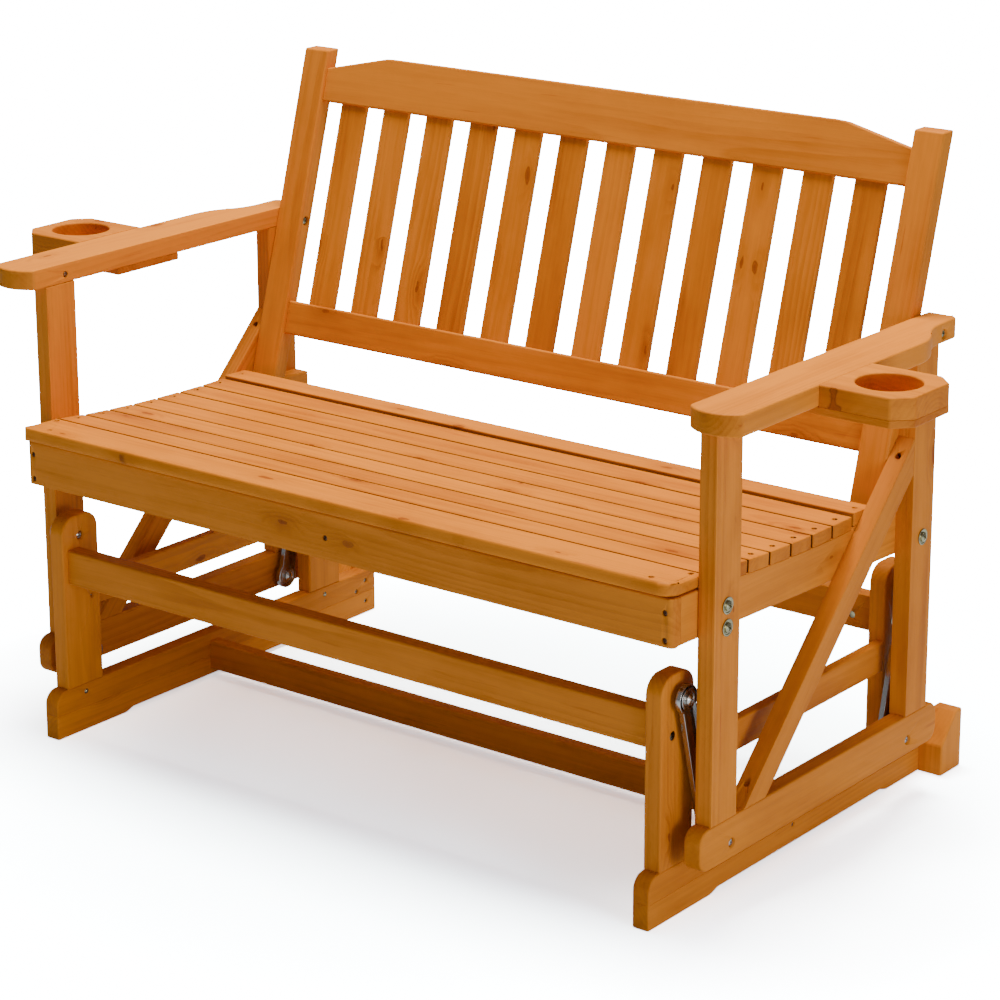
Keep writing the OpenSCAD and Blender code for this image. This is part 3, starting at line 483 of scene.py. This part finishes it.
def eased_copy(node, ease, fitted_ease, is_fitted, segments):
    """A merged copy of a CAD node with rounded edges: free ones by ease, fitted ones by fitted_ease."""
    bm = merged_copy(node)
    bmesh.ops.dissolve_limit(bm, angle_limit=FLAT, verts=bm.verts, edges=bm.edges)
    weight = bm.edges.layers.float.new("bevel_weight_edge")
    for edge in bm.edges:
        sharp = len(edge.link_faces) == 2 and edge.calc_face_angle(0.0) > SHARP
        if sharp and edge.calc_length() > SHORT_EDGE:
            fitted = is_fitted(edge.verts[0].co, edge.verts[1].co)
            edge[weight] = fitted_ease / ease if fitted else 1.0
    rough = bpy.data.meshes.new(node + "_cut")
    bm.to_mesh(rough)
    bm.free()
    holder = bpy.data.objects.new(node + "_cut", rough)
    bpy.context.scene.collection.objects.link(holder)
    bevel = holder.modifiers.new("ease", "BEVEL")
    bevel.limit_method, bevel.width, bevel.segments = "WEIGHT", ease, segments
    bevel.use_clamp_overlap = False
    mesh = bpy.data.meshes.new_from_object(holder.evaluated_get(bpy.context.evaluated_depsgraph_get()))
    bpy.data.objects.remove(holder)
    bpy.data.meshes.remove(rough)
    bm = bmesh.new()
    bm.from_mesh(mesh)
    bmesh.ops.triangulate(bm, faces=[f for f in bm.faces if len(f.verts) > 4])
    bm.to_mesh(mesh)
    bm.free()
    if "bevel_weight_edge" in mesh.attributes:
        mesh.attributes.remove(mesh.attributes["bevel_weight_edge"])
    return mesh


def eased_boards(node, finish, seed):
    """The boards of one node with their free edges rounded, as a planer and sander leave them."""
    ease = EASES.get(node, EASE)
    mesh = eased_copy(node, ease, min(ease, FITTED_EASE), lambda a, b: BOARDS.share(a, b, node) > GLUED, 3)
    # painted shade in the gaps, on the seat slats only
    gap_shade = GAP_SHADE if node == "seat_slats" else 0.0
    write_grain(mesh, GRAIN[node], np.random.default_rng(seed), TONES.get(node, 0.5), gap_shade)
    place_piece(node + "_board", mesh, finish, node)


def place_piece(name, mesh, finish, node):
    """Links a finished mesh as the piece that takes a CAD node's place and rides on its body."""
    mesh.materials.append(finish)
    mesh.shade_smooth()
    mesh.set_sharp_from_angle(angle=SHARP)
    piece = bpy.data.objects.new(name, mesh)
    bpy.context.scene.collection.objects.link(piece)
    weighted = piece.modifiers.new("face_weight", "WEIGHTED_NORMAL")
    weighted.keep_sharp = True
    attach(piece, BODY_OF[node])
    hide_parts(node)


# ---------------------------------------------------------------- turned hardware
def solids_of(node):
    """The corner points of each separate solid of a CAD node."""
    bm = merged_copy(node)
    co = np.array([v.co for v in bm.verts])
    edges = np.array([[v.index for v in e.verts] for e in bm.edges])
    bm.free()
    label = board_numbers(len(co), edges)
    return [co[label == k] for k in range(label.max() + 1)]


def turned_outline(points):
    """The axis of a turned solid, its middle, and its outline as (place along the axis, radius) from end to
    end. Where several radii share a place, the one that the wall arrives with comes first."""
    low, high = points.min(0), points.max(0)
    axis = int(np.argmax(high - low))
    middle = (low + high) / 2
    off = np.delete(points - middle, axis, 1)
    radius = np.hypot(off[:, 0], off[:, 1])
    along = points[:, axis]
    outline = []
    for place in np.unique(np.round(along, 5)):
        here = sorted(set(np.round(radius[np.abs(along - place) < 2e-5], 4)) - {0.0})
        if outline:
            here.sort(key=lambda r: abs(r - outline[-1][1]))
        ends = [here[0]] if len(here) == 1 else [here[0], here[-1]]
        outline += [(place, r) for r in ends]
    return axis, middle, outline


def with_rolled_rims(outline):
    """An outline whose wide flat steps get a groove beside the inner wall and a crowned rim outside it."""
    path = []
    for (place, r), (after, r_after) in zip(outline, outline[1:] + outline[-1:]):
        path.append((place, r))
        if abs(after - place) < 1e-6 and abs(r_after - r) > RIM_STEP:
            low, high = sorted((r, r_after))
            sink = RIM_SINK if r_after > r else -RIM_SINK
            rim = [(place + share * sink, low + spot * (high - low)) for spot, share in RIM_SHAPE]
            path += rim if r < r_after else rim[::-1]
    return path


def softened(outline, ease):
    """An outline whose corners are short curves: each corner becomes five points of a quadratic arc."""
    path = np.array(outline)
    rows = [path[0]]
    for before, corner, after in zip(path[:-2], path[1:-1], path[2:]):
        into, away = before - corner, after - corner
        reach = min(ease, np.linalg.norm(into) * 0.45, np.linalg.norm(away) * 0.45)
        start = corner + into / np.linalg.norm(into) * reach
        stop = corner + away / np.linalg.norm(away) * reach
        t = np.linspace(0, 1, 5)[:, None]
        rows += list((1 - t) ** 2 * start + 2 * t * (1 - t) * corner + t ** 2 * stop)
    rows.append(path[-1])
    return np.array(rows)


def cross_depth(across, up):
    """Depth of a cross recess over the unit disc: two slots that meet, with sloping sides and ends."""
    def slot(a, b):
        return np.clip((0.15 - np.abs(a)) / 0.05, 0, 1) * np.clip((0.56 - np.abs(b)) / 0.16, 0, 1)
    return np.maximum(slot(across, up), slot(up, across))


def crossed_cap(radius, rise, depth, sides, rings):
    """A domed end over the disc: height = rise times (1 - rho squared), less the cross recess."""
    rho = np.linspace(1, 0, rings + 1)[1:-1, None]
    turn = np.linspace(0, 2 * math.pi, sides, endpoint=False)[None]
    across, up = rho * np.cos(turn + 0.6), rho * np.sin(turn + 0.6)
    height = rise * (1 - rho ** 2) - depth * cross_depth(across, up)
    grid = np.stack([height, radius * rho * np.cos(turn), radius * rho * np.sin(turn)], -1)
    return grid.reshape(-1, 3), rise - depth


def ring_faces(count, sides):
    """Faces of a closed skin over count rings of sides points each, and a pole at either end."""
    ring, side = np.meshgrid(np.arange(count - 1) * sides, np.arange(sides), indexing="ij")
    after = (side + 1) % sides
    beyond = ring + sides
    quads = np.stack([ring + side, beyond + side, beyond + after, ring + after], -1).reshape(-1, 4)
    first = np.arange(sides)
    second = (first + 1) % sides
    last = (count - 1) * sides
    top = np.stack([np.full(sides, count * sides), first, second], -1)
    low = np.stack([np.full(sides, count * sides + 1), last + second, last + first], -1)
    return [tuple(face) for part in (quads, top, low) for face in part.tolist()]


def turned_solid(points, sides, ease, rise, tip):
    """A bolt or screw with the outline of its CAD solid, rounded corners, and a domed cross-recess head at
    its wide end. The grid runs round the axis and along the outline, from the head; tip is "head" for a
    second head or "point" for a cone. Gives the corners and the faces."""
    axis, middle, outline = turned_outline(points)
    outline = with_rolled_rims(outline)
    sign = 1
    if outline[0][1] < outline[-1][1] - 1e-5:
        outline, sign = outline[::-1], -1
    start = outline[0][0]
    path = [((place - start) * sign, r) for place, r in outline]
    head = path[0][1]
    length, foot = path[-1]
    path[0] = (head * rise, head)
    path[-1] = (length - foot * (rise if tip == "head" else TAPER), foot)
    rings = 12 if head > LARGE_HEAD else 8
    before, after = (path[0][0] + 1e-7, 0.6 * head), (path[-1][0] - 1e-7, 0.6 * foot)
    wall = softened([before] + path + [after], ease)[1:-1]
    wall = wall[np.concatenate([[True], np.linalg.norm(np.diff(wall, axis=0), axis=1) > SAME_POINT])]
    turn = np.linspace(0, 2 * math.pi, sides, endpoint=False)
    place, radius = np.repeat(wall[:, :1], sides, 1), wall[:, 1:]
    body = np.stack([place, radius * np.cos(turn), radius * np.sin(turn)], -1)
    top, top_pole = crossed_cap(wall[0, 1], head * rise, head * CROSS_DEPTH, sides, rings)
    top[:, 0] = wall[0, 0] - top[:, 0]
    rows = [top.reshape(rings - 1, sides, 3)[::-1], body]
    low_end = length
    if tip == "head":
        low, low_pole = crossed_cap(wall[-1, 1], foot * rise, foot * CROSS_DEPTH, sides, rings)
        low[:, 0] += wall[-1, 0]
        rows.append(low.reshape(rings - 1, sides, 3))
        low_end = wall[-1, 0] + low_pole
    grid = np.concatenate(rows)
    faces = ring_faces(len(grid), sides)
    grid = np.concatenate([grid.reshape(-1, 3), [[wall[0, 0] - top_pole, 0, 0], [low_end, 0, 0]]])
    corners = np.zeros_like(grid)
    others = [i for i in range(3) if i != axis]
    corners[:, axis] = start + sign * grid[:, 0]
    corners[:, others] = middle[others] + grid[:, 1:]
    return corners, faces


def turned_set(node, finish, sides, ease, rise, tip):
    """One piece that holds every turned fastener of a CAD node."""
    corners, faces, base = [], [], 0
    for points in solids_of(node):
        co, part = turned_solid(points, sides, ease, rise, tip)
        corners.append(co)
        faces += [tuple(base + i for i in face) for face in part]
        base += len(co)
    mesh = bpy.data.meshes.new(node + "_turned")
    mesh.from_pydata(np.concatenate(corners).tolist(), [], faces)
    bm = bmesh.new()
    bm.from_mesh(mesh)
    bmesh.ops.recalc_face_normals(bm, faces=bm.faces)
    bm.to_mesh(mesh)
    bm.free()
    place_piece(node + "_turned", mesh, finish, node)


def eased_steel(node, finish, ease):
    """A pressed or turned steel node with its sharp edges broken, so that they catch the light."""
    mesh = eased_copy(node, ease, ease, lambda a, b: False, 2)
    place_piece(node + "_steel", mesh, finish, node)


# ---------------------------------------------------------------- the bench
# which way the grain runs, by the start of a sub-part's name
RUNS = (
    (X_AXIS, ("cross_rail", "floor_stretcher", "cup_", "front_apron", "rear_apron", "front_seat_slat",
              "seat_slats", "top_back_rail", "low_back_rail")),
    (Y_AXIS, ("base_rail", "base_runner", "side_stretcher", "swing_rail", "arm_", "seat_rail")),
    (Z_AXIS, ("stub", "front_leg", "rear_post", "stop_block")),
    (BRACE_RUN, ("brace",)),
    (BACK_UP, ("stile", "back_slats")))
GRAIN = {name: run for name in CAD for run, starts in RUNS if name.startswith(starts)}
SLATS = ("seat_slats", "front_seat_slat", "back_slats")
EASES = {"seat_slats": SLAT_EASE, "front_seat_slat": NOSE_EASE, "back_slats": THIN_EASE,
         "cup_board_left": CUP_EASE, "cup_board_right": CUP_EASE}
# how dark the boards of a sub-part are on average; 0.5 where it isn't given
TONES = {"front_seat_slat": 0.22, "arm_left": 0.30, "arm_right": 0.30, "seat_slats": 0.45,
         "back_slats": 0.62, "stile_left": 0.70, "stile_right": 0.70, "low_back_rail": 0.70,
         "top_back_rail": 0.60}

studio_camera()
studio()
WOOD = make_softwood_group()
MARKS = make_metal_wear_group()
FRAME_WOOD = softwood("stained_frame_wood", WOOD, (0.70, 0.225, 0.020), (0.37, 0.090, 0.007), 0.13)
SLAT_WOOD = softwood("stained_slat_wood_and_gap_shade", WOOD, (0.70, 0.222, 0.016), (0.35, 0.080, 0.006), 0.26)
LINK_STEEL = plated("link_steel", MARKS, (0.42, 0.41, 0.40), (0.30, 0.29, 0.28), 0.14)
NICKEL = plated("bright_nickel", MARKS, (0.52, 0.50, 0.47), (0.36, 0.34, 0.32), 0.12)
YELLOW_ZINC = plated("yellow_zinc", MARKS, (0.36, 0.33, 0.20), (0.22, 0.20, 0.12), 0.14)
# browned steel, made darker still as painted shade of the holes that the frame screws sit in
BROWN_SHADED_STEEL = plated("browned_and_shaded_screw_steel", MARKS, (0.16, 0.085, 0.045), (0.07, 0.035, 0.018), 0.34)

BOARDS = Neighbours(sorted(GRAIN))
for _seed, _name in enumerate(sorted(GRAIN), FIRST_SEED):
    if _name in SLATS:
        eased_boards(_name, SLAT_WOOD, _seed)
    else:
        eased_boards(_name, FRAME_WOOD, _seed)

# node, finish, points round the axis, rounding of the corners, rise of the domed head, other end
for _turned in (("frame_bolts", YELLOW_ZINC, 48, 0.0006, 0.28, "head"),
                ("upper_pivot_bolts", NICKEL, 48, 0.0007, 0.30, "head"),
                ("lower_pivot_bolts", NICKEL, 48, 0.0007, 0.26, "head"),
                ("frame_screws", BROWN_SHADED_STEEL, 32, 0.0004, 0.20, "point"),
                ("base_screws", YELLOW_ZINC, 32, 0.0004, 0.20, "point")):
    turned_set(*_turned)
eased_steel("cross_bolts", YELLOW_ZINC, 0.0005)
for _name in sorted(CAD):
    if _name.startswith("link_"):
        eased_steel(_name, LINK_STEEL, 0.0006)
    elif _name.startswith("bearings_"):
        eased_steel(_name, NICKEL, 0.0003)
